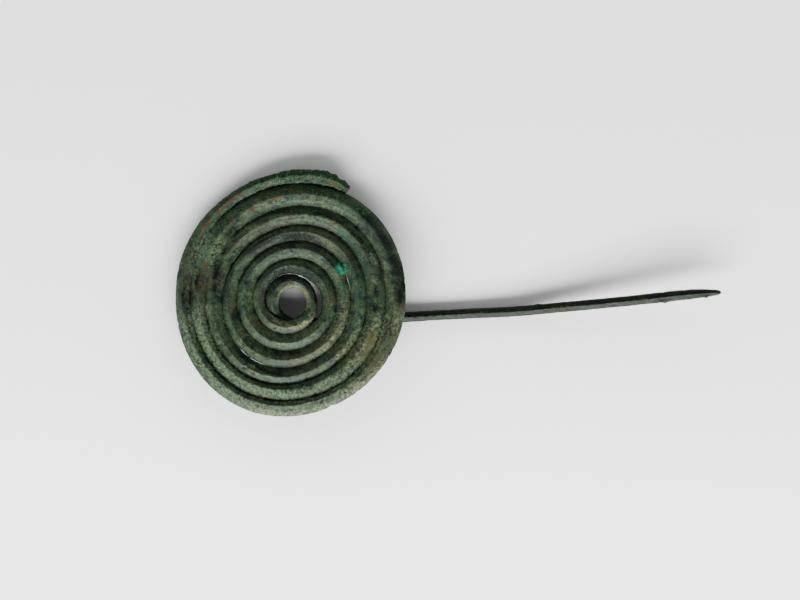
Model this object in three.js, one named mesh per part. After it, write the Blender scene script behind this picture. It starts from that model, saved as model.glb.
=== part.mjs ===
// Spiral disc brooch in bronze. One hand-forged wire makes all of it: a pointed pin that runs behind
// the disc, a small open eye, six turns of ridged wire wound flat, and a broken end at the rim.
// Millimetres, +Z up. The brooch lies face up on the plane Z = 0, on its pin and on one spot of the
// disc's rim, with the pin's point towards +X.

import * as THREE from "three";

const { degToRad, lerp, smoothstep } = THREE.MathUtils;

// The coil in plan. Its turns run clockwise from the eye outwards. Places on it are given as degrees
// wound, counted clockwise from 3 o'clock, which faces the pin's point.
const LIST_STEP = 60; // degrees between two listed edges: 3, 5, 7, 9, 11 and 1 o'clock
const OUTER_EDGES = [
  8.6, 8.1, 7.3, 7.2, 7.3, 6.5, // the start of the wire, curling up into the eye
  6.3, 7.7, 9.4, 10.6, 11.0, 11.5,
  11.5, 12.0, 13.8, 14.9, 15.2, 16.1,
  15.2, 16.0, 18.5, 18.6, 18.9, 20.6,
  19.4, 20.1, 23.0, 23.1, 23.6, 25.6,
  24.3, 25.0, 27.1, 26.9, 29.4, 31.2,
  29.3, 29.0, 30.9, 30.8, 32.7, 35.7, // the outermost turn, up to the broken end
];
const EYE_EDGES = [6.2, 5.4, 4.1, 3.7, 3.45, 3.4, 3.45, 4.1, 5.6, 7.4, 7.5, 6.8, 7.6, 7.9];
const TURN_GAP = 0.2; // between two turns that lie side by side
const COIL_START = 100;
const COIL_END = 2456;
const COIL_STEP = 5;

// The wire.
const PIN_THICKNESS = 2.6;
const EYE_WIRE_HEIGHT = 3.3;
const RIM_WIRE_HEIGHT = 4.1;
const FULL_HEIGHT_FROM = 900; // degrees wound where the wire has its full height
const RIDGE_INWARD = 0.33; // of the half width: the outer turns' crest stands inside their middle
const RIDGE_SWAY = 0.35; // and sways this much more
const SWAY_TOWARDS = 100;
const RIDGE_SHIFTS_FROM = 1450; // up to here the crest is in the middle
const RIDGE_SHIFTED_FROM = 2050;
const BACK_FLAT = 0.25; // half width of the hammered back, of the wire's half width
const BACK_DEPTH = 0.85;
const SHOULDER = 0.35; // of the half height: where the two upper facets meet the flanks
const CROWN = 0.03; // swell of the two upper facets
const WORN_ROUND_FROM = 2250; // the outer end is corroded to a rounder wire
const END_ROUNDNESS = 0.7;
const COIL_ROUNDNESS = 0.12;
const END_ROUNDING = 2.2; // the broken end is worn down from its outer side by this much
const END_ROUNDING_LENGTH = 12; // degrees
const END_FLATTENING = 0.25;
const END_BULGE = 0.3;

// How the brooch lies.
const DISC_TILT = 4.5;
const RISES_TOWARDS = 45; // clock degrees of the side that is raised
const EYE_HEIGHT = 4.04; // of the wire's middle, at the centre of the eye
const CLIMB_FROM = 85; // degrees wound between which the wire rises from the table into the disc
const CLIMB_TO = 195;
const EYE_POSITION = new THREE.Vector3(-40.2, -2.2, 0); // the eye's centre in the part's frame

// The pin, from its point to behind the eye: x and y from the eye's centre, and the lift of its
// underside off the table.
const PIN_ROUTE = [
  [110.9, 2.3, 4.9],
  [103.2, 1.8, 4.3],
  [87.6, 0.1, 3.0],
  [72.0, -1.4, 1.6],
  [57.5, -2.7, 0.45],
  [46.0, -3.25, 0],
  [33.0, -3.95, 0],
  [18.0, -4.9, 0],
  [5.0, -5.75, 0],
];
const PIN_STEP = 2.2;
const POINT_LENGTH = 8;
const POINT_BLUNTNESS = 0.25;

// Sections have SIDES corners, in order from the crest over the outer edge and the back.
const SIDES = 7;
const roundSection = Array.from({ length: SIDES }, (_, corner) => {
  const turn = (corner / SIDES) * 2 * Math.PI;
  return [Math.sin(turn), Math.cos(turn)];
});
const ROUND_DEPTH = Math.cos(Math.PI / SIDES);

function ridgedSection(ridge) {
  return [
    [ridge, 1],
    [(ridge + 1) / 2 + CROWN, (1 + SHOULDER) / 2 + CROWN],
    [1, SHOULDER],
    [BACK_FLAT, -BACK_DEPTH],
    [-BACK_FLAT, -BACK_DEPTH],
    [-1, SHOULDER],
    [(ridge - 1) / 2 - CROWN, (1 + SHOULDER) / 2 + CROWN],
  ];
}

// A smooth curve through a list of edges, read at any place on the coil.
function edgeReader(edges) {
  const curve = new THREE.SplineCurve(edges.map((edge, index) => new THREE.Vector2(index, edge)));
  const listed = (edges.length - 1) * LIST_STEP;
  return (wound) => curve.getPoint(wound / listed).y;
}

const listedEdge = edgeReader(OUTER_EDGES);
const eyeEdge = edgeReader(EYE_EDGES);
const eyeEdgeEnd = (EYE_EDGES.length - 1) * LIST_STEP;

function endWear(wound) {
  return Math.max(0, 1 - (COIL_END - wound) / END_ROUNDING_LENGTH) ** 2;
}

function outerEdge(wound) {
  return listedEdge(wound) - END_ROUNDING * endWear(wound);
}

// Past the eye each turn lies against the one inside it.
function innerEdge(wound) {
  return wound < eyeEdgeEnd ? eyeEdge(wound) : outerEdge(wound - 360) + TURN_GAP;
}

const rise = Math.tan(degToRad(DISC_TILT));
const risesTowards = degToRad(-RISES_TOWARDS);
const discNormal = new THREE.Vector3(
  -rise * Math.cos(risesTowards),
  -rise * Math.sin(risesTowards),
  1,
).normalize();

function discHeight(x, y) {
  return EYE_HEIGHT + rise * (x * Math.cos(risesTowards) + y * Math.sin(risesTowards));
}

function wireHeight(wound) {
  return lerp(EYE_WIRE_HEIGHT, RIM_WIRE_HEIGHT, smoothstep(wound, CLIMB_TO, FULL_HEIGHT_FROM));
}

function roundness(wound) {
  const start = 1 - smoothstep(wound, CLIMB_FROM, CLIMB_TO);
  const end = smoothstep(wound, WORN_ROUND_FROM, COIL_END);
  return COIL_ROUNDNESS + (1 - COIL_ROUNDNESS) * start + (END_ROUNDNESS - COIL_ROUNDNESS) * end;
}

function ridgeOffset(wound) {
  const shifted = smoothstep(wound, RIDGE_SHIFTS_FROM, RIDGE_SHIFTED_FROM);
  const sway = RIDGE_SWAY * Math.cos(degToRad(wound - SWAY_TOWARDS));
  return -shifted * (RIDGE_INWARD + sway);
}

// A station is one place along the wire: its middle, the size and form of its section, and which
// way the crest points.
function coilStation(wound) {
  const radius = (outerEdge(wound) + innerEdge(wound)) / 2;
  const x = radius * Math.cos(degToRad(-wound));
  const y = radius * Math.sin(degToRad(-wound));
  const climb = smoothstep(wound, CLIMB_FROM, CLIMB_TO);
  const onTable = (PIN_THICKNESS / 2) * ROUND_DEPTH;
  const fullHeight = lerp(PIN_THICKNESS, wireHeight(wound), climb);
  return {
    middle: new THREE.Vector3(x, y, lerp(onTable, discHeight(x, y), climb)),
    halfWidth: (outerEdge(wound) - innerEdge(wound)) / 2,
    halfHeight: (fullHeight / 2) * (1 - END_FLATTENING * endWear(wound)),
    ridge: ridgeOffset(wound),
    roundness: roundness(wound),
    crest: new THREE.Vector3(0, 0, 1).lerp(discNormal, climb).normalize(),
  };
}

function coilStations() {
  const count = Math.round((COIL_END - COIL_START) / COIL_STEP);
  return Array.from({ length: count + 1 }, (_, index) =>
    coilStation(lerp(COIL_START, COIL_END, index / count)),
  );
}

// The pin's route runs on through the first two places of the coil, so that it joins it smoothly.
function pinStations() {
  const onTable = (PIN_THICKNESS / 2) * ROUND_DEPTH;
  const route = PIN_ROUTE.map(([x, y, lift]) => new THREE.Vector3(x, y, onTable + lift));
  const joins = [COIL_START, COIL_START + LIST_STEP / 2].map((wound) => coilStation(wound));
  const curve = new THREE.CatmullRomCurve3([...route, ...joins.map((station) => station.middle)]);
  const spans = curve.points.length - 1;
  const stations = [];
  for (let span = 0; span < route.length; span++) {
    const length = curve.points[span].distanceTo(curve.points[span + 1]);
    const steps = Math.ceil(length / PIN_STEP);
    const joining = span === route.length - 1;
    for (let step = 0; step < steps; step++) {
      const share = step / steps;
      const middle = curve.getPoint((span + share) / spans);
      const fromPoint = middle.distanceTo(route[0]);
      const swelling = Math.sqrt(Math.min(1, fromPoint / POINT_LENGTH));
      const half = (PIN_THICKNESS / 2) * lerp(POINT_BLUNTNESS, 1, swelling);
      stations.push({
        middle,
        halfWidth: joining ? lerp(half, joins[0].halfWidth, share) : half,
        halfHeight: joining ? lerp(half, joins[0].halfHeight, share) : half,
        ridge: joining ? joins[0].ridge * share : 0,
        roundness: joining ? lerp(1, joins[0].roundness, share) : 1,
        crest: new THREE.Vector3(0, 0, 1),
      });
    }
  }
  return stations;
}

// The corners of one section. Nothing reaches below the table: the two spots that the brooch lies
// on are flat.
function sectionCorners(station, direction) {
  const outward = station.crest.clone().cross(direction).normalize();
  const up = direction.clone().cross(outward).normalize();
  const ridged = ridgedSection(station.ridge);
  return ridged.map(([across, high], corner) => {
    const [roundAcross, roundHigh] = roundSection[corner];
    const corners = station.middle
      .clone()
      .addScaledVector(outward, station.halfWidth * lerp(across, roundAcross, station.roundness))
      .addScaledVector(up, station.halfHeight * lerp(high, roundHigh, station.roundness));
    corners.z = Math.max(0, corners.z);
    return corners;
  });
}

// The closed skin of the whole wire: a band between each section and the next, and a cap at each end.
function wireGeometry(stations) {
  const last = stations.length - 1;
  const directions = stations.map((_, index) => {
    const before = stations[Math.max(0, index - 1)].middle;
    const after = stations[Math.min(last, index + 1)].middle;
    return after.clone().sub(before).normalize();
  });
  const corners = stations.flatMap((station, index) => sectionCorners(station, directions[index]));
  const pointEnd = stations[0].middle.clone().addScaledVector(directions[0], -stations[0].halfWidth);
  const brokenEnd = stations[last].middle.clone().addScaledVector(directions[last], END_BULGE);
  corners.push(pointEnd, brokenEnd);

  const faces = [];
  for (let side = 0; side < SIDES; side++) {
    const next = (side + 1) % SIDES;
    for (let band = 0; band < last; band++) {
      const near = band * SIDES;
      const far = near + SIDES;
      faces.push(near + side, far + side, near + next);
      faces.push(near + next, far + side, far + next);
    }
    faces.push(corners.length - 2, side, next);
    faces.push(corners.length - 1, last * SIDES + next, last * SIDES + side);
  }
  const geometry = new THREE.BufferGeometry().setFromPoints(corners);
  geometry.setIndex(faces);
  geometry.computeVertexNormals();
  return geometry;
}

const bronze = new THREE.MeshStandardMaterial({ color: 0x56634f, roughness: 0.75, metalness: 0.35 });
const brooch = new THREE.Mesh(wireGeometry([...pinStations(), ...coilStations()]), bronze);
brooch.name = "spiral_brooch";
brooch.position.copy(EYE_POSITION);

const group = new THREE.Group();
group.add(brooch);

export default group;
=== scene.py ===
"""Looks of the spiral disc brooch: the wire at fine resolution with its corrosion, and its patina."""
import math

import bpy
import numpy as np
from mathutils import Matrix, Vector, noise


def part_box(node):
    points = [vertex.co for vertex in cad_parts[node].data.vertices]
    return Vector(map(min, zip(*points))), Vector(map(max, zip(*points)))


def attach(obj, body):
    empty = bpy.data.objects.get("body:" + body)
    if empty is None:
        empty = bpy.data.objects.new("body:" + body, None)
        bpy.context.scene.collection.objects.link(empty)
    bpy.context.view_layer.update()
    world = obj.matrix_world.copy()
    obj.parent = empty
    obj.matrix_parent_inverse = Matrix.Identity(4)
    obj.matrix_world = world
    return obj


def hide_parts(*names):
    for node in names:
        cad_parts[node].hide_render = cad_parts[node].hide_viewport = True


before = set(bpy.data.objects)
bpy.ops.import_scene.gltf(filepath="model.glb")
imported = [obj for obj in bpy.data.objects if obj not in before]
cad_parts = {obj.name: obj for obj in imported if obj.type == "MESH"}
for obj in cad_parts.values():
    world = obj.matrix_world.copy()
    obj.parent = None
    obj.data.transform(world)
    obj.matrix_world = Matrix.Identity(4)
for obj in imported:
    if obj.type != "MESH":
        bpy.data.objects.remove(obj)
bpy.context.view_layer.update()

MM = 0.001
NODE = "spiral_brooch"

# ---------------------------------------------------------------------------------------------
# The wire's form, in millimetres from the centre of the eye. Places on the coil are degrees wound,
# clockwise from 3 o'clock, which faces the pin's point.

LIST_STEP = 60  # degrees between two listed edges: 3, 5, 7, 9, 11 and 1 o'clock
OUTER_EDGES = [
    8.6, 8.1, 7.3, 7.2, 7.3, 6.5,  # the coil's start, where the wire climbs into the eye
    6.3, 7.7, 9.4, 10.6, 11.0, 11.5,
    11.5, 12.0, 13.8, 14.9, 15.2, 16.1,
    15.2, 16.0, 18.5, 18.6, 18.9, 20.6,
    19.4, 20.1, 23.0, 23.1, 23.6, 25.6,
    24.3, 25.0, 27.1, 26.9, 29.4, 31.2,
    29.3, 29.0, 30.9, 30.8, 32.7, 35.7,  # the outermost turn, up to the broken end
]
EYE_EDGES = [6.2, 5.4, 4.1, 3.7, 3.45, 3.4, 3.45, 4.1, 5.6, 7.4, 7.5, 6.8, 7.6, 7.9]
EYE_END = (len(EYE_EDGES) - 1) * LIST_STEP  # from here on each turn lies against the one inside it
TURN_GAP = 0.2
COIL_START, COIL_END = 100, 2456

# The wire's section. Its crest stands inside the middle in the outer turns, and sways there.
PIN_THICKNESS = 2.6
EYE_WIRE_HEIGHT, RIM_WIRE_HEIGHT, FULL_HEIGHT_FROM = 3.3, 4.1, 900
RIDGE_INWARD, RIDGE_SWAY, SWAY_TOWARDS = 0.33, 0.35, 100
RIDGE_SHIFTS_FROM, RIDGE_SHIFTED_FROM = 1450, 2050
BACK_FLAT, BACK_DEPTH, SHOULDER, CROWN = 0.25, 0.85, 0.35, 0.03
SIDES = 7

# The outer end is corroded to a rounder wire, and worn down where it broke.
WORN_ROUND_FROM, END_ROUNDNESS, COIL_ROUNDNESS = 2250, 0.7, 0.12
END_ROUNDING, END_ROUNDING_LENGTH, END_FLATTENING, END_BULGE = 2.2, 12, 0.25, 0.3

# How the disc leans, and where the wire climbs from the table into it.
DISC_TILT, RISES_TOWARDS, EYE_HEIGHT = 4.5, 45, 4.04
CLIMB_FROM, CLIMB_TO = 85, 195
RISE, TOWARDS = math.tan(math.radians(DISC_TILT)), math.radians(-RISES_TOWARDS)
DISC_NORMAL = np.array([-RISE * math.cos(TOWARDS), -RISE * math.sin(TOWARDS), 1])
DISC_NORMAL = DISC_NORMAL / np.linalg.norm(DISC_NORMAL)

# The pin, from its point to behind the eye: x, y and the lift of its underside off the table.
PIN_ROUTE = [
    (110.9, 2.3, 4.9), (103.2, 1.8, 4.3), (87.6, 0.1, 3.0), (72.0, -1.4, 1.6), (57.5, -2.7, 0.45),
    (46.0, -3.25, 0), (33.0, -3.95, 0), (18.0, -4.9, 0), (5.0, -5.75, 0),
]
POINT_LENGTH, POINT_BLUNTNESS = 8, 0.25
ON_TABLE = PIN_THICKNESS / 2 * math.cos(math.pi / SIDES)  # height of the middle of a pin that lies

# The eye's centre in the part's frame, from the CAD node's left and bottom limits.
DISC_LEFT, DISC_BOTTOM = 30.807, 29.983
low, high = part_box(NODE)
EYE = np.array([low.x / MM + DISC_LEFT, low.y / MM + DISC_BOTTOM, 0.0])

# The fine wire's turns lie close, where the CAD keeps TURN_GAP between them. Further in than
# CLOSING_FROM the paper shows between the eye and the next turn.
TURN_CLOSING, CLOSING_FROM = 0.45, EYE_END - 40

# Fineness of the visual mesh: the step along the wire, and the points between one corner of the
# section and the next. Sides 0 and 1 are the outer of the two upper facets, 5 and 6 the inner.
STATION_STEP = 0.38
WALK_POINTS = 20000
SIDE_SHARES = {
    "seen": (0, 0.1, 0.27, 0.45, 0.63, 0.81, 0.93),
    "hidden": (0, 0.3, 0.7),
}
SEEN_SIDES = (0, 1, 5, 6)
# The painted glint, a highlight, lies along this column of the ring.
GLINT_COLUMN = 2 * len(SIDE_SHARES["seen"]) - 2  # the ring's point just inside the outer shoulder


def smoothstep(x, start, end):
    t = np.clip((x - start) / (end - start), 0, 1)
    return t * t * (3 - 2 * t)


def mix(a, b, share):
    return a + (b - a) * share


def cubic(t, start, slope_in, end, slope_out):
    """A place between start and end on the curve that leaves and arrives at the given slopes."""
    return (
        (2 * t**3 - 3 * t**2 + 1) * start + (t**3 - 2 * t**2 + t) * slope_in
        + (3 * t**2 - 2 * t**3) * end + (t**3 - t**2) * slope_out
    )


def read_edge(edges, wound):
    """A smooth curve through listed edges, read at degrees wound."""
    edges = np.array(edges)
    last = len(edges) - 1
    place = np.clip(np.asarray(wound, float) / LIST_STEP, 0, last)
    span = np.minimum(place.astype(int), last - 1)
    t = place - span
    before, start = edges[np.maximum(span - 1, 0)], edges[span]
    end, after = edges[span + 1], edges[np.minimum(span + 2, last)]
    return cubic(t, start, (end - before) / 2, end, (after - start) / 2)


def end_wear(wound):
    return np.clip(1 - (COIL_END - wound) / END_ROUNDING_LENGTH, 0, 1) ** 2


def outer_edge(wound):
    return read_edge(OUTER_EDGES, wound) - END_ROUNDING * end_wear(wound)


def inner_edge(wound):
    against = outer_edge(wound - 360) + TURN_GAP
    return np.where(wound < EYE_END, read_edge(EYE_EDGES, wound), against)


def disc_height(x, y):
    return EYE_HEIGHT + RISE * (x * math.cos(TOWARDS) + y * math.sin(TOWARDS))


def wire_height(wound):
    return mix(EYE_WIRE_HEIGHT, RIM_WIRE_HEIGHT, smoothstep(wound, CLIMB_TO, FULL_HEIGHT_FROM))


def ridge_offset(wound):
    shifted = smoothstep(wound, RIDGE_SHIFTS_FROM, RIDGE_SHIFTED_FROM)
    sway = RIDGE_SWAY * np.cos(np.radians(wound - SWAY_TOWARDS))
    return -shifted * (RIDGE_INWARD + sway)


def roundness(wound):
    start = 1 - smoothstep(wound, CLIMB_FROM, CLIMB_TO)
    end = smoothstep(wound, WORN_ROUND_FROM, COIL_END)
    return COIL_ROUNDNESS + (1 - COIL_ROUNDNESS) * start + (END_ROUNDNESS - COIL_ROUNDNESS) * end


def coil_stations(wound):
    """The coil at each of the degrees wound: its middle, its section's size and form, its crest."""
    outer, inner = outer_edge(wound), inner_edge(wound)
    radius = (outer + inner) / 2
    x, y = radius * np.cos(np.radians(wound)), -radius * np.sin(np.radians(wound))
    climb = smoothstep(wound, CLIMB_FROM, CLIMB_TO)
    full_height = mix(PIN_THICKNESS, wire_height(wound), climb)
    crest = mix(np.array([0, 0, 1.0]), DISC_NORMAL, climb[:, None])
    return {
        "middle": np.stack([x, y, mix(ON_TABLE, disc_height(x, y), climb)], axis=1),
        "half_width": (outer - inner) / 2,
        "half_height": full_height / 2 * (1 - END_FLATTENING * end_wear(wound)),
        "ridge": ridge_offset(wound),
        "roundness": roundness(wound),
        "crest": crest / np.linalg.norm(crest, axis=1, keepdims=True),
        "wound": wound,
    }


def span_point(points, span, t):
    """A place on the centripetal Catmull-Rom curve through points."""
    p1, p2 = points[span], points[span + 1]
    p0 = points[span - 1] if span else 2 * p1 - p2
    p3 = points[span + 2] if span + 2 < len(points) else 2 * p2 - p1
    d0, d1, d2 = (math.sqrt(np.linalg.norm(b - a)) for a, b in ((p0, p1), (p1, p2), (p2, p3)))
    slope_in = ((p1 - p0) / d0 - (p2 - p0) / (d0 + d1) + (p2 - p1) / d1) * d1
    slope_out = ((p2 - p1) / d1 - (p3 - p1) / (d1 + d2) + (p3 - p2) / d2) * d1
    return cubic(t[:, None], p1, slope_in, p2, slope_out)


def pin_stations():
    """The pin, which runs on through the first two places of the coil and so joins it smoothly."""
    joins = coil_stations(np.array([COIL_START, COIL_START + LIST_STEP / 2], float))
    route = [np.array([x, y, ON_TABLE + lift]) for x, y, lift in PIN_ROUTE]
    points = route + list(joins["middle"])
    parts = []
    for span in range(len(route)):
        steps = math.ceil(np.linalg.norm(points[span + 1] - points[span]) / STATION_STEP)
        share = np.arange(steps) / steps
        middle = span_point(points, span, share)
        from_point = np.linalg.norm(middle - route[0], axis=1)
        swelling = np.sqrt(np.minimum(1, from_point / POINT_LENGTH))
        half = PIN_THICKNESS / 2 * mix(POINT_BLUNTNESS, 1, swelling)
        joining = share if span == len(route) - 1 else np.zeros(steps)
        parts.append({
            "middle": middle,
            "half_width": mix(half, joins["half_width"][0], joining),
            "half_height": mix(half, joins["half_height"][0], joining),
            "ridge": joins["ridge"][0] * joining,
            "roundness": mix(1, joins["roundness"][0], joining),
            "crest": np.tile([0, 0, 1.0], (steps, 1)),
            "wound": np.full(steps, float(COIL_START)),
        })
    return {key: np.concatenate([part[key] for part in parts]) for key in parts[0]}


def wire_stations():
    """The whole wire. The coil is walked in equal steps, so its mesh is as fine everywhere."""
    pin = pin_stations()
    fine = np.linspace(COIL_START, COIL_END, WALK_POINTS)
    middle = coil_stations(fine)["middle"]
    walked = np.concatenate([[0], np.cumsum(np.linalg.norm(np.diff(middle, axis=0), axis=1))])
    count = round(walked[-1] / STATION_STEP)
    coil = coil_stations(np.interp(np.linspace(0, walked[-1], count), walked, fine))
    return {key: np.concatenate([pin[key], coil[key]]) for key in pin}


def section_corners(stations):
    """Each section's seven corners, across and high in shares of its half sizes.

    They start at the crest and run over the outer shoulder, the back and the inner shoulder.
    """
    ridge = stations["ridge"]
    one = np.ones_like(ridge)
    facet = (1 + SHOULDER) / 2 + CROWN
    corners = [
        (ridge, one),
        ((ridge + 1) / 2 + CROWN, one * facet),
        (one, one * SHOULDER),
        (one * BACK_FLAT, -one * BACK_DEPTH),
        (-one * BACK_FLAT, -one * BACK_DEPTH),
        (-one, one * SHOULDER),
        ((ridge - 1) / 2 - CROWN, one * facet),
    ]
    ridged = np.stack([np.stack(corner, axis=1) for corner in corners], axis=1)
    turn = np.arange(SIDES) / SIDES * 2 * math.pi
    rounded = np.stack([np.sin(turn), np.cos(turn)], axis=1)
    return mix(ridged, rounded[None], stations["roundness"][:, None, None])


def section_points(stations):
    """The sections as rings of points, with their corners softened."""
    corners = section_corners(stations)
    ring = []
    for side in range(SIDES):
        start, end = corners[:, side], corners[:, (side + 1) % SIDES]
        shares = SIDE_SHARES["seen" if side in SEEN_SIDES else "hidden"]
        ring += [mix(start, end, share) for share in shares]
    ring = np.stack(ring, axis=1)
    ring = ring / 2 + (np.roll(ring, 1, axis=1) + np.roll(ring, -1, axis=1)) / 4
    return ring / np.abs(ring).max(axis=1, keepdims=True)


def wire_surface(stations):
    """The wire's skin, stations by ring, with its normals, its sections and its direction."""
    middle = stations["middle"]
    direction = np.gradient(middle, axis=0)
    direction /= np.linalg.norm(direction, axis=1, keepdims=True)
    outward = np.cross(stations["crest"], direction)
    outward /= np.linalg.norm(outward, axis=1, keepdims=True)
    up = np.cross(direction, outward)
    ring = section_points(stations)
    closing = TURN_CLOSING * smoothstep(stations["wound"], CLOSING_FROM, EYE_END)[:, None, None]
    across = ring[:, :, :1] * stations["half_width"][:, None, None]
    across -= closing * smoothstep(-ring[:, :, :1], 0.6, 1)  # at the inner shoulder alone
    rise = ring[:, :, 1:] * stations["half_height"][:, None, None]
    skin = middle[:, None] + across * outward[:, None] + rise * up[:, None]
    along = np.gradient(skin, axis=0)
    around = np.roll(skin, -1, axis=1) - np.roll(skin, 1, axis=1)
    normal = np.cross(along, around)
    normal /= np.maximum(np.linalg.norm(normal, axis=2, keepdims=True), 1e-9)
    return skin, normal, ring, direction


# ---------------------------------------------------------------------------------------------
# Corrosion, with the masks of the painted groove shade and painted glint. A stain lies at clock
# degrees and millimetres from the eye's centre, with its half length along the turn, its half
# width across it and its strength.

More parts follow.
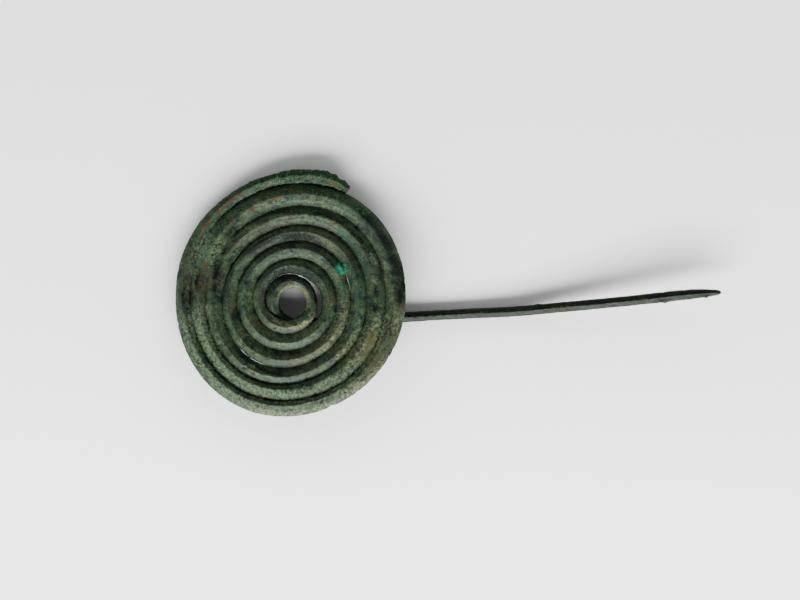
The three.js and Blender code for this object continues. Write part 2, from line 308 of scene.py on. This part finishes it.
STAINS = {
    "verdigris": [
        (235, 32.0, 7.0, 2.2, 0.8), (250, 32.8, 8.0, 2.6, 1.0), (268, 33.2, 9.0, 2.8, 1.05),
        (286, 33.6, 8.0, 2.8, 1.05), (262, 30.2, 9.0, 1.2, 0.7), (296, 31.8, 3.5, 2.4, 0.9),
        (306, 29.6, 3.2, 1.4, 0.9), (280, 29.2, 9.0, 1.1, 0.95), (226, 27.6, 6.0, 1.8, 0.6),
        (252, 24.3, 8.0, 1.2, 0.6), (275, 24.0, 7.0, 1.1, 0.7), (318, 21.0, 5.0, 0.9, 0.6),
        (160, 17.5, 6.0, 1.0, 0.35), (205, 27.6, 5.0, 3.0, 0.45), (303, 29.4, 2.4, 0.9, 0.9),
        (258, 28.4, 7.0, 1.0, 0.8), (240, 27.6, 5.0, 1.2, 0.7), (230, 29.4, 8.0, 1.2, 0.7),
        (359.3, 106.0, 0.9, 3.0, 0.45), (3.6, 50.0, 1.0, 5.0, 0.25),
    ],
    "teal": [
        (190, 13.4, 5.0, 1.0, 0.6), (222, 12.6, 5.0, 1.0, 0.6), (258, 12.6, 5.0, 1.0, 0.55),
        (172, 17.4, 6.0, 1.0, 0.5), (205, 16.4, 6.0, 0.9, 0.5), (310, 21.6, 5.0, 0.9, 0.7),
        (330, 20.4, 5.0, 1.0, 0.7), (348, 18.2, 5.0, 2.0, 0.6), (20, 17.6, 6.0, 1.6, 0.5),
        (350, 13.6, 5.0, 1.6, 0.5), (88, 20.6, 8.0, 1.0, 0.5), (92, 25.0, 8.0, 0.9, 0.45),
        (300, 27.4, 4.0, 0.8, 0.6), (160, 26.2, 6.0, 1.4, 0.5), (95, 28.6, 6.0, 1.2, 0.4),
        (264, 25.8, 5.0, 0.8, 0.5), (220, 28.6, 6.0, 1.6, 0.45),
    ],
    "slate": [
        (312, 28.8, 5.0, 1.5, 1.0), (326, 28.4, 6.0, 1.6, 1.0), (341, 28.2, 6.0, 1.6, 1.0),
        (355, 28.2, 5.0, 1.9, 0.9), (262, 23.6, 9.0, 0.9, 0.8), (290, 24.0, 9.0, 1.0, 0.8),
        (315, 23.6, 6.0, 1.0, 0.8), (338, 24.6, 5.0, 1.6, 0.7), (352, 24.0, 5.0, 1.4, 0.5),
        (195, 19.8, 5.0, 0.9, 0.6), (118, 19.4, 14.0, 0.8, 0.8), (96, 23.0, 14.0, 0.8, 0.6),
        (328, 19.0, 11.0, 8.0, 0.48), (262, 8.4, 5.0, 1.4, 0.6), (262, 13.0, 7.0, 1.2, 0.5),
        (240, 17.0, 8.0, 1.2, 0.9), (276, 17.0, 8.0, 1.4, 0.9), (225, 21.0, 6.0, 1.0, 0.45),
        (250, 7.0, 9.0, 3.4, 0.8), (300, 7.4, 6.0, 3.0, 0.75), (200, 7.0, 6.0, 3.0, 0.65),
        (90, 13.6, 9.0, 1.6, 0.5), (265, 14.0, 12.0, 2.6, 0.6), (96, 18.0, 12.0, 2.4, 0.5),
        (340, 7.4, 6.0, 3.0, 0.6), (190, 18.0, 7.0, 2.4, 0.55),
    ],
    "cuprite": [
        (238, 31.0, 2.0, 0.8, 0.8), (231, 30.5, 2.0, 0.8, 0.8), (221, 30.1, 2.4, 0.8, 0.75),
        (215, 29.4, 1.6, 0.9, 0.7), (232, 26.3, 1.8, 0.7, 0.6), (246, 26.2, 1.3, 0.7, 0.75),
        (262, 27.6, 1.8, 0.5, 0.6), (243, 31.2, 2.2, 0.7, 0.6), (298, 34.9, 1.2, 1.6, 0.75),
        (295.8, 32.4, 0.6, 1.7, 0.9), (284, 29.6, 2.0, 0.6, 0.5), (262, 29.6, 2.4, 0.6, 0.5),
        (16, 25.6, 1.8, 1.0, 0.5), (172, 28.2, 3.0, 0.7, 0.45),
    ],
    "crust": [
        (209, 26.4, 4.5, 3.2, 0.75), (214, 23.6, 3.0, 1.4, 0.6), (166, 26.4, 5.5, 1.5, 0.9),
        (150, 25.2, 6.0, 1.2, 0.5), (332, 23.6, 2.4, 1.1, 0.8), (339, 25.6, 1.8, 0.6, 0.8),
        (346, 22.0, 1.4, 0.9, 0.7), (8, 28.6, 3.0, 1.4, 0.7), (12, 22.6, 2.5, 1.1, 0.6),
        (250, 26.5, 5.0, 1.0, 0.5), (292, 26.0, 5.0, 1.1, 0.6), (176, 22.6, 1.6, 0.7, 0.9),
        (122, 19.8, 1.0, 0.6, 0.9), (225, 20.6, 3.0, 0.8, 0.45), (300, 22.3, 4.0, 0.8, 0.5),
        (128, 28.6, 12.0, 1.4, 0.75), (156, 28.6, 10.0, 1.6, 0.75), (128, 24.8, 14.0, 2.0, 1.0),
        (154, 24.6, 12.0, 2.0, 1.0), (20, 24.4, 8.0, 1.6, 0.5), (44, 24.2, 8.0, 1.4, 0.5),
        (98, 24.6, 12.0, 1.8, 0.8), (66, 23.6, 9.0, 1.8, 0.8),
    ],
    "brown": [
        (190, 28.4, 5.0, 1.9, 0.7), (192, 24.6, 4.5, 2.2, 0.8), (183, 26.6, 3.5, 2.6, 0.65),
        (36, 26.6, 6.0, 1.6, 0.55), (24, 27.5, 4.0, 2.4, 0.5), (270, 29.3, 8.0, 1.0, 0.45),
        (245, 20.3, 7.0, 0.8, 0.5), (165, 20.9, 3.0, 0.9, 0.4), (352, 16.2, 3.0, 1.4, 0.35),
    ],
    "black": [
        (199, 21.2, 2.4, 1.0, 1.0), (190, 20.8, 2.0, 1.0, 1.0), (192, 25.7, 2.2, 0.6, 0.9),
        (182, 28.7, 4.0, 0.5, 0.8), (5, 21.5, 1.6, 0.9, 1.0), (353, 21.6, 2.0, 0.8, 0.8),
        (350, 29.3, 4.0, 1.2, 0.8), (358, 27.6, 2.6, 1.3, 0.8), (216, 22.2, 1.8, 0.7, 0.8),
        (355, 6.0, 1.6, 0.8, 0.9), (228, 24.6, 3.0, 0.9, 0.6),
    ],
    "ochre": [
        (26, 22.4, 2.6, 1.3, 0.8), (35, 23.2, 2.6, 1.2, 0.7), (3, 28.4, 1.6, 1.2, 0.8),
        (268, 29.3, 1.0, 0.7, 0.9), (202, 24.6, 1.5, 0.9, 0.9), (258, 27.4, 3.0, 0.7, 0.6),
        (300, 17.4, 2.5, 0.7, 0.5), (205, 28.9, 1.2, 0.6, 0.7), (44, 16.6, 3.0, 1.0, 0.5),
        (280, 32.4, 3.0, 0.7, 0.5), (289, 32.2, 2.0, 0.8, 0.9), (236, 24.8, 2.0, 0.7, 0.5),
        (272, 28.6, 2.6, 0.7, 0.7), (1.6, 70.0, 0.9, 3.4, 0.55), (359.9, 91.0, 0.9, 2.4, 0.45),
    ],
    "cream": [
        (90, 6.7, 12.0, 0.8, 0.9), (300, 3.8, 9.0, 0.6, 0.9), (230, 3.7, 9.0, 0.6, 0.8),
        (100, 29.6, 20.0, 1.6, 0.5), (70, 29.0, 14.0, 1.8, 0.4), (110, 25.0, 14.0, 1.4, 0.7),
        (80, 24.4, 14.0, 1.4, 0.6), (48, 28.0, 12.0, 2.4, 0.6), (30, 23.0, 9.0, 3.0, 0.75),
        (14, 27.0, 6.0, 2.0, 0.5), (60, 14.6, 8.0, 1.4, 0.55), (36, 14.0, 8.0, 1.6, 0.6),
        (14, 13.6, 5.0, 1.6, 0.5), (40, 18.6, 8.0, 1.6, 0.5),
        (75, 27.6, 10.0, 1.8, 0.35), (64, 23.0, 8.0, 1.4, 0.5),
        (250, 26.4, 7.0, 1.0, 0.5), (300, 17.6, 4.0, 0.8, 0.5), (345, 24.6, 3.0, 0.8, 0.6),
    ],
    "malachite": [(326.3, 15.0, 1.7, 1.4, 1.0)],
}

# Crust fills the grooves between two clock degrees, and from "outside" degrees wound on.
CRUSTED = {"from": 192, "to": 226, "edge": 7, "outside": 1290, "full": 1350, "fill": 0.75}
CRUST_LEVEL = 0.8  # the share of the wire's half height that the crust reaches
# Relief in mm: forging marks, grain, pits, growths and the crumbling end.
FORGED, GRAINED, RAISED, PITTED = 0.05, 0.06, 0.03, 0.16
CRUST_GROWN, MALACHITE_GROWN, END_CRUMBLED = 0.16, 0.55, 0.32
PIN_RELIEF = 0.6  # the pin is smoother than the coil
ROUGH_END_FROM, ROUGH_END_FULL = 2370, 2430
# Painted shade lies in the grooves below the shoulders, but little of it on the back, the rim and the
# crust.
KEPT_CLEAR = 0.8
RIM_FROM, RIM_FULL = COIL_END - 370, COIL_END - 350
# Chips in the coil's outer edge: degrees wound, half length and depth in mm.
CHIPS = ((2230, 0.9, 0.4), (2446.2, 0.6, 0.5), (2450.6, 0.8, 0.65))
# Crumbs of corrosion on the pin: mm from the eye's centre, its upper or lower edge, half length.
CRUMBS = ((64.0, "upper", 0.6), (96.0, "lower", 1.8), (107.4, "lower", 0.5))
# Degrees wound between which a painted glint, a highlight, lies beside the outer shoulder.
GLINTS, GLINT_FADE = ((1040, 1072), (1193, 1221)), 6


def clock(skin):
    """Clock degrees and distance from the eye's centre."""
    degrees = np.degrees(np.arctan2(-skin[..., 1], skin[..., 0])) % 360
    return degrees, np.hypot(skin[..., 0], skin[..., 1])


def on_pin(stations):
    return (stations["wound"] <= COIL_START)[:, None]


def stain_mask(kind, skin):
    degrees, radius = clock(skin)
    mask = np.zeros(radius.shape)
    for at, distance, length, width, strength in STAINS[kind]:
        turned = (degrees - at + 180) % 360 - 180
        along = np.radians(turned) * distance / length
        across = (radius - distance) / width
        mask = np.maximum(mask, strength * np.exp(-(along**2 + across**2)))
    return mask


def rough(skin, size, octaves=3, shift=0.0):
    """Smooth noise of about -1 to 1 at each point, with features of the size given in mm."""
    places = skin.reshape(-1, 3) / size + shift
    values = [noise.fractal(Vector(place), 1.0, 2.0, octaves) for place in places.tolist()]
    return np.array(values).reshape(skin.shape[:-1])


def crusted(stations):
    """How far crust fills the grooves between the outer turns, at each station."""
    wound, edge = stations["wound"], CRUSTED["edge"]
    inside = smoothstep(wound % 360, CRUSTED["from"] - edge, CRUSTED["from"] + edge)
    inside *= 1 - smoothstep(wound % 360, CRUSTED["to"] - edge, CRUSTED["to"] + edge)
    return CRUSTED["fill"] * inside * smoothstep(wound, CRUSTED["outside"], CRUSTED["full"])


def chipped(ring, stations):
    """Depth lost in the chips of the outer edge."""
    outside = smoothstep(ring[..., 0], 0.4, 0.95)
    lost = np.zeros(ring.shape[:2])
    for at, length, depth in CHIPS:
        along = np.radians(stations["wound"] - at) * outer_edge(at) / length
        lost = np.maximum(lost, depth * np.exp(-along[:, None] ** 2) * outside)
    return lost


def crumbly(skin, ring):
    """Height of the crumbs on the pin's edges."""
    grown = np.zeros(ring.shape[:2])
    for at, edge, length in CRUMBS:
        side = -ring[..., 0] if edge == "upper" else ring[..., 0]
        along = (skin[..., 0] - at) / length
        grown = np.maximum(grown, np.exp(-along**2) * smoothstep(side, 0.5, 0.95))
    return grown * (0.2 + 0.35 * rough(skin, 0.7, 2, 41.3))


def corroded(skin, normal, ring, stations, masks):
    """The skin with its forging marks, pits, crusts and crumbling end."""
    end = smoothstep(stations["wound"], ROUGH_END_FROM, ROUGH_END_FULL)[:, None]
    depth = FORGED * rough(skin, 6.0, 2) + GRAINED * rough(skin, 1.1, 3, 7.1) + RAISED
    depth -= PITTED * smoothstep(rough(skin, 1.4, 2, 31.7), 0.35, 0.7)
    depth += CRUST_GROWN * masks["crust"] * (0.5 + rough(skin, 0.8, 2, 3.3))
    depth += MALACHITE_GROWN * masks["malachite"] * (0.7 + 0.5 * rough(skin, 0.9, 2, 5.0))
    depth += END_CRUMBLED * end * (rough(skin, 1.2, 3, 12.9) - 0.05)
    pin_depth = PIN_RELIEF * depth + crumbly(skin, ring)
    depth = np.where(on_pin(stations), pin_depth, depth - chipped(ring, stations))
    return skin + normal * depth[..., None] + crust_fill(ring, stations)


def crust_fill(ring, stations):
    """What the crust adds to the skin in the grooves that it fills."""
    filled = crusted(stations)[:, None] * smoothstep(ring[..., 1], -0.3, 0.1)
    to_level = np.maximum(CRUST_LEVEL - ring[..., 1], 0) * stations["half_height"][:, None]
    return filled[..., None] * (stations["crest"][:, None] * to_level[..., None])


def groove_shade_mask(ring, stations):
    """Painted shade: one in the grooves between turns, nought on the ridges, little on the rim and
    the back.
    """
    shaded = 1 - smoothstep(ring[..., 1], SHOULDER - 0.05, SHOULDER + 0.1)
    shaded *= 1 - KEPT_CLEAR * smoothstep(-ring[..., 1], 0.5, 0.8)
    outermost = smoothstep(stations["wound"], RIM_FROM, RIM_FULL)[:, None]
    shaded *= 1 - KEPT_CLEAR * outermost * smoothstep(ring[..., 0], 0.2, 0.6)
    return shaded * (1 - KEPT_CLEAR * crusted(stations)[:, None])


def glint_mask(skin, stations):
    """One where a painted glint lies: a highlight in the one line of points beside the outer
    shoulder.
    """
    wound = stations["wound"]
    bright = np.zeros(len(wound))
    for start, end in GLINTS:
        painted_glint = smoothstep(wound, start, start + GLINT_FADE)
        painted_glint *= 1 - smoothstep(wound, end - GLINT_FADE, end)
        bright = np.maximum(bright, painted_glint)
    mask = np.zeros(skin.shape[:2])
    mask[:, GLINT_COLUMN] = bright * smoothstep(rough(skin[:, GLINT_COLUMN], 2.0, 2, 9.4), -0.5, 0.1)
    return mask


def wire_faces(rows, columns):
    """Quads along the wire, and fans about the two last points, at its tip and its broken end."""
    row, column = np.meshgrid(np.arange(rows - 1), np.arange(columns), indexing="ij")
    after = (column + 1) % columns
    quads = np.stack([
        row * columns + column, (row + 1) * columns + column,
        (row + 1) * columns + after, row * columns + after,
    ], axis=-1).reshape(-1, 4)
    faces = quads.tolist()
    last, tip, broken = (rows - 1) * columns, rows * columns, rows * columns + 1
    for side in range(columns):
        after = (side + 1) % columns
        faces.append((tip, side, after))
        faces.append((broken, last + after, last + side))
    return faces


def wire_mesh(name, skin, direction, stations, masks):
    """The skin as a mesh inside the CAD node's limits, with each mask as an attribute."""
    tip = skin[0].mean(axis=0) - direction[0] * stations["half_width"][0]
    broken = skin[-1].mean(axis=0) + direction[-1] * END_BULGE
    points = np.concatenate([skin.reshape(-1, 3), tip[None], broken[None]])
    points = np.clip((points + EYE) * MM, low, high)
    mesh = bpy.data.meshes.new(name)
    mesh.from_pydata(points.tolist(), [], wire_faces(*skin.shape[:2]))
    mesh.update()
    mesh.shade_smooth()
    for kind, mask in masks.items():
        values = np.concatenate([mask.reshape(-1), [mask[0].mean(), mask[-1].mean()]])
        mesh.attributes.new(kind, "FLOAT", "POINT").data.foreach_set("value", values)
    return mesh


# ---------------------------------------------------------------------------------------------
# Patina, with painted shade in the grooves and painted glints

COLOURS = {
    "pale": (0.140, 0.190, 0.100),
    "deep": (0.028, 0.058, 0.043),
    "warm": (0.140, 0.130, 0.070),
    "verdigris": (0.036, 0.094, 0.052),
    "bloom": (0.14, 0.235, 0.125),
    "teal": (0.075, 0.165, 0.115),
    "slate": (0.020, 0.032, 0.028),
    "cuprite": (0.145, 0.060, 0.040),
    "crust": (0.20, 0.27, 0.175),
    "brown": (0.062, 0.052, 0.032),
    "black": (0.008, 0.011, 0.009),
    "ochre": (0.15, 0.13, 0.06),
    "cream": (0.27, 0.27, 0.15),
    "malachite": (0.06, 0.50, 0.30),
    # The next colour is painted shade, near black, laid in the grooves between the turns.
    "painted_groove_shade": (0.010, 0.014, 0.010),
    "pin": (0.018, 0.023, 0.018),
    # The next colour is a painted highlight: the near-white glint beside the outer shoulder.
    "glint": (0.9, 0.9, 0.8),
}
STAIN_ORDER = (
    "teal", "cream", "slate", "crust", "verdigris",
    "ochre", "brown", "cuprite", "black", "malachite",
)
MATT_STAINS = ("slate", "crust", "verdigris", "ochre", "brown", "cuprite", "black")
SCATTERED_STAINS = ("crust", "brown", "black")  # these lie in fine specks all over as well
MATT_ROUGHENS, ROUGHEST = 0.5, 0.9
PATINA_IOR = 1.37
BUMP_STRENGTH, BUMP_DEPTH = 0.5, 0.12


def add_node(tree, kind, *inputs, **settings):
    """A shader node with its inputs in order, each a value, a socket to link or None to leave."""
    made = tree.nodes.new("ShaderNode" + kind)
    for setting, value in settings.items():
        setattr(made, setting, value)
    for socket, value in zip(made.inputs, inputs):
        if isinstance(value, bpy.types.NodeSocket):
            tree.links.new(value, socket)
        elif value is not None:
            socket.default_value = value
    return made


def noise_field(tree, coordinates, size, detail=3, roughness=0.55):
    texture = add_node(tree, "TexNoise", coordinates)
    texture.inputs["Scale"].default_value = 1 / (size * MM)
    texture.inputs["Detail"].default_value = detail
    texture.inputs["Roughness"].default_value = roughness
    return texture.outputs[0]


def ranged(tree, value, from_low, from_high, to_low=0.0, to_high=1.0):
    return add_node(tree, "MapRange", value, from_low, from_high, to_low, to_high).outputs[0]


def blend(tree, share, first, second, how="MIX"):
    """Two colours, or sockets that hold them, mixed by a share."""
    made = tree.nodes.new("ShaderNodeMix")
    made.data_type = "RGBA"
    made.blend_type = how
    sockets = (made.inputs[0], made.inputs[6], made.inputs[7])
    for socket, value in zip(sockets, (share, first, second)):
        if isinstance(value, bpy.types.NodeSocket):
            tree.links.new(value, socket)
        elif isinstance(value, float):
            socket.default_value = value
        else:
            socket.default_value = (*value, 1)
    return made.outputs[2]


def maths(tree, operation, *values):
    return add_node(tree, "Math", *values, operation=operation).outputs[0]


def painted(tree, kind):
    """A mask of the mesh, read by the name of its attribute."""
    return add_node(tree, "Attribute", attribute_name=kind).outputs["Fac"]


def noise_fields(tree):
    place = tree.nodes.new("ShaderNodeTexCoord").outputs["Object"]
    return {
        "clouds": noise_field(tree, place, 3.0, 5, 0.65),
        "warmth": noise_field(tree, place, 5.5, 3),
        "speckle": noise_field(tree, place, 0.8, 4, 0.7),
        "grains": noise_field(tree, place, 0.33, 2),
        "patches": noise_field(tree, place, 1.9, 3, 0.6),
    }


def ground(tree, fields):
    """The patina under the stains: green clouds with warm and teal places, dark on the pin."""
    clouds = ranged(tree, fields["clouds"], 0.36, 0.62)
    colour = blend(tree, clouds, COLOURS["deep"], COLOURS["pale"])
    warm = ranged(tree, fields["warmth"], 0.52, 0.75, 0.0, 0.75)
    colour = blend(tree, warm, colour, COLOURS["warm"])
    teal = ranged(tree, fields["patches"], 0.54, 0.68, 0.0, 0.5)
    colour = blend(tree, teal, colour, COLOURS["teal"])
    pin = ranged(tree, painted(tree, "pin"), 0, 1, 0.0, 0.85)
    return blend(tree, pin, colour, COLOURS["pin"])


def stain_share(tree, kind, speckle):
    """How far a stain covers the patina: its mask, torn by the speckle."""
    mask = painted(tree, kind)
    uneven = maths(tree, "SUBTRACT", speckle, 0.5)
    torn = maths(tree, "MULTIPLY_ADD", uneven, 2.2, mask)
    share = ranged(tree, torn, 0.28, 0.8, 0.0, 0.9)
    if kind in SCATTERED_STAINS:
        return share
    return maths(tree, "MULTIPLY", share, ranged(tree, mask, 0.0, 0.15))


def stained(tree, fields, colour, roughness):
    """The colour and roughness with every stain laid over them in turn."""
    for kind in STAIN_ORDER:
        share = stain_share(tree, kind, fields["speckle"])
        stain = COLOURS[kind]
        if kind == "verdigris":
            stain = blend(tree, ranged(tree, fields["grains"], 0.5, 0.68), stain, COLOURS["bloom"])
        colour = blend(tree, share, colour, stain)
        if kind in MATT_STAINS:
            roughness = maths(tree, "MULTIPLY_ADD", share, MATT_ROUGHENS, roughness)
    return colour, roughness


def weathered_and_painted_light(tree, fields, colour):
    """The colour in light and dark grains and pale specks, with painted shade in the grooves and
    painted glints.
    """
    grainy = ranged(tree, fields["patches"], 0.42, 0.56, 1.0, 0.25)
    for field, share, least, most in (("grains", grainy, 0.3, 1.7), ("speckle", 1.0, 0.22, 0.7)):
        shades = ranged(tree, fields[field], 0.3, 0.7, least, most)
        tint = add_node(tree, "CombineColor", shades, shades, shades).outputs[0]
        colour = blend(tree, share, colour, tint, "MULTIPLY")
    pale_specks = ranged(tree, fields["grains"], 0.66, 0.74, 0.0, 0.4)
    colour = blend(tree, pale_specks, colour, COLOURS["crust"])
    # Painted shade, near black, in the grooves between the turns.
    painted_groove_shade = ranged(tree, painted(tree, "painted_groove_shade"), 0.1, 0.9, 0.0, 0.9)
    colour = blend(tree, painted_groove_shade, colour, COLOURS["painted_groove_shade"])
    return blend(tree, painted(tree, "glint"), colour, COLOURS["glint"])


def patina():
    # The material holds the patina and, with it, painted shade in the grooves and painted glints.
    material = bpy.data.materials.new("bronze_patina_and_painted_light")
    material.use_nodes = True
    tree = material.node_tree
    shader = tree.nodes["Principled BSDF"]
    fields = noise_fields(tree)
    roughness = ranged(tree, fields["clouds"], 0.3, 0.7, 0.38, 0.54)
    colour, roughness = stained(tree, fields, ground(tree, fields), roughness)
    tree.links.new(weathered_and_painted_light(tree, fields, colour), shader.inputs["Base Color"])
    tree.links.new(maths(tree, "MINIMUM", roughness, ROUGHEST), shader.inputs["Roughness"])
    shader.inputs["IOR"].default_value = PATINA_IOR
    bump = tree.nodes.new("ShaderNodeBump")
    bump.inputs["Strength"].default_value = BUMP_STRENGTH
    bump.inputs["Distance"].default_value = BUMP_DEPTH * MM
    tree.links.new(fields["speckle"], bump.inputs["Height"])
    tree.links.new(bump.outputs[0], shader.inputs["Normal"])
    return material


# ---------------------------------------------------------------------------------------------
# Camera, light and paper

PAPER_SIZE, PAPER_COLOUR, PAPER_ROUGHNESS = 6.0, (0.78, 0.77, 0.78, 1), 0.9
VIEW_CENTRE = np.array([27.8, 0.3])  # the picture's middle, from the eye's centre
VIEW_WIDTH = 208.0
FOCUS_HEIGHT = 5.0
CAMERA_DISTANCE = 500.0
SENSOR = 36.0

WINDOW_BEARING, WINDOW_ELEVATION = 266, 30
WINDOW_DISTANCE, WINDOW_WIDTH, WINDOW_HEIGHT, WINDOW_WATTS = 1.6, 2.4, 0.7, 60
WALL_LIGHT, FAR_WALL, WALL_FROM_TO = 1.65, 0.75, (-0.5, 0.5)
DARK_CEILING, CEILING_FROM_TO = 0.08, (0.35, 0.75)

# The film's tones: the scene's light and how light it comes out, with the highlights held back.
FILM_WHITE = 2.0
FILM_TONES = (
    (0.02, 0.006), (0.045, 0.026), (0.08, 0.062), (0.14, 0.132), (0.26, 0.28), (0.51, 0.51),
    (0.75, 0.63), (0.95, 0.70), (1.05, 0.745), (1.15, 0.80), (1.3, 0.87),
)


def add_camera():
    data = bpy.data.cameras.new("camera")
    data.sensor_width = SENSOR
    data.lens = SENSOR * CAMERA_DISTANCE / VIEW_WIDTH
    data.clip_end = 20
    camera = bpy.data.objects.new("camera", data)
    camera.location = (
        (EYE[0] + VIEW_CENTRE[0]) * MM, (EYE[1] + VIEW_CENTRE[1]) * MM,
        (FOCUS_HEIGHT + CAMERA_DISTANCE) * MM,
    )
    bpy.context.scene.collection.objects.link(camera)
    bpy.context.scene.camera = camera


def add_window():
    """The window: one wide soft light, low in front of the brooch."""
    data = bpy.data.lights.new("window", "AREA")
    data.shape = "RECTANGLE"
    data.size, data.size_y = WINDOW_WIDTH, WINDOW_HEIGHT
    data.energy = WINDOW_WATTS
    light = bpy.data.objects.new("window", data)
    bearing, height = math.radians(WINDOW_BEARING), math.radians(WINDOW_ELEVATION)
    level = math.cos(height)
    aim = Vector((math.cos(bearing) * level, math.sin(bearing) * level, math.sin(height)))
    light.location = WINDOW_DISTANCE * aim
    light.rotation_euler = aim.to_track_quat("Z", "Y").to_euler()
    bpy.context.scene.collection.objects.link(light)


def add_paper():
    mesh = bpy.data.meshes.new("paper")
    half = PAPER_SIZE / 2
    corners = [(-half, -half, 0), (half, -half, 0), (half, half, 0), (-half, half, 0)]
    mesh.from_pydata(corners, [], [(0, 1, 2, 3)])
    paper = bpy.data.objects.new("paper", mesh)
    bpy.context.scene.collection.objects.link(paper)
    material = bpy.data.materials.new("paper")
    material.use_nodes = True
    shader = material.node_tree.nodes["Principled BSDF"]
    shader.inputs["Base Color"].default_value = PAPER_COLOUR
    shader.inputs["Roughness"].default_value = PAPER_ROUGHNESS
    paper.data.materials.append(material)


def add_world():
    """A room with pale walls, a little darker opposite the window, and a dark ceiling."""
    world = bpy.data.worlds.new("room")
    world.use_nodes = True
    tree = world.node_tree
    direction = tree.nodes.new("ShaderNodeTexCoord").outputs["Generated"]
    bearing = math.radians(WINDOW_BEARING)
    front = (math.cos(bearing), math.sin(bearing), 0)
    facing = add_node(tree, "VectorMath", direction, front, operation="DOT_PRODUCT")
    upward = add_node(tree, "SeparateXYZ", direction).outputs["Z"]
    walls = ranged(tree, facing.outputs["Value"], *WALL_FROM_TO, FAR_WALL * WALL_LIGHT, WALL_LIGHT)
    open_share = ranged(tree, upward, *CEILING_FROM_TO, 1.0, DARK_CEILING)
    strength = maths(tree, "MULTIPLY", walls, open_share)
    background = tree.nodes["Background"]
    background.inputs["Color"].default_value = (1, 1, 1, 1)
    tree.links.new(strength, background.inputs["Strength"])
    bpy.context.scene.world = world


def set_film():
    film = bpy.context.scene.view_settings
    film.view_transform = "Standard"
    film.use_curve_mapping = True
    mapping = film.curve_mapping
    mapping.white_level = (FILM_WHITE, FILM_WHITE, FILM_WHITE)
    all_channels = mapping.curves[3]
    for light, tone in FILM_TONES:
        all_channels.points.new(light / FILM_WHITE, tone)
    mapping.update()


def add_wire():
    stations = wire_stations()
    skin, normal, ring, direction = wire_surface(stations)
    masks = {kind: stain_mask(kind, skin) for kind in STAINS}
    skin = corroded(skin, normal, ring, stations, masks)
    # Painted shade for the grooves between the turns.
    masks["painted_groove_shade"] = groove_shade_mask(ring, stations)
    # A painted highlight: the glint beside the outer shoulder.
    masks["glint"] = glint_mask(skin, stations)
    masks["pin"] = np.repeat(on_pin(stations) * 1.0, ring.shape[1], axis=1)
    mesh = wire_mesh("forged_wire", skin, direction, stations, masks)
    wire = bpy.data.objects.new("forged_wire", mesh)
    bpy.context.scene.collection.objects.link(wire)
    wire.data.materials.append(patina())
    return wire


add_camera()
add_paper()
add_world()
add_window()
set_film()

wire = add_wire()
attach(wire, "root")
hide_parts(NODE)
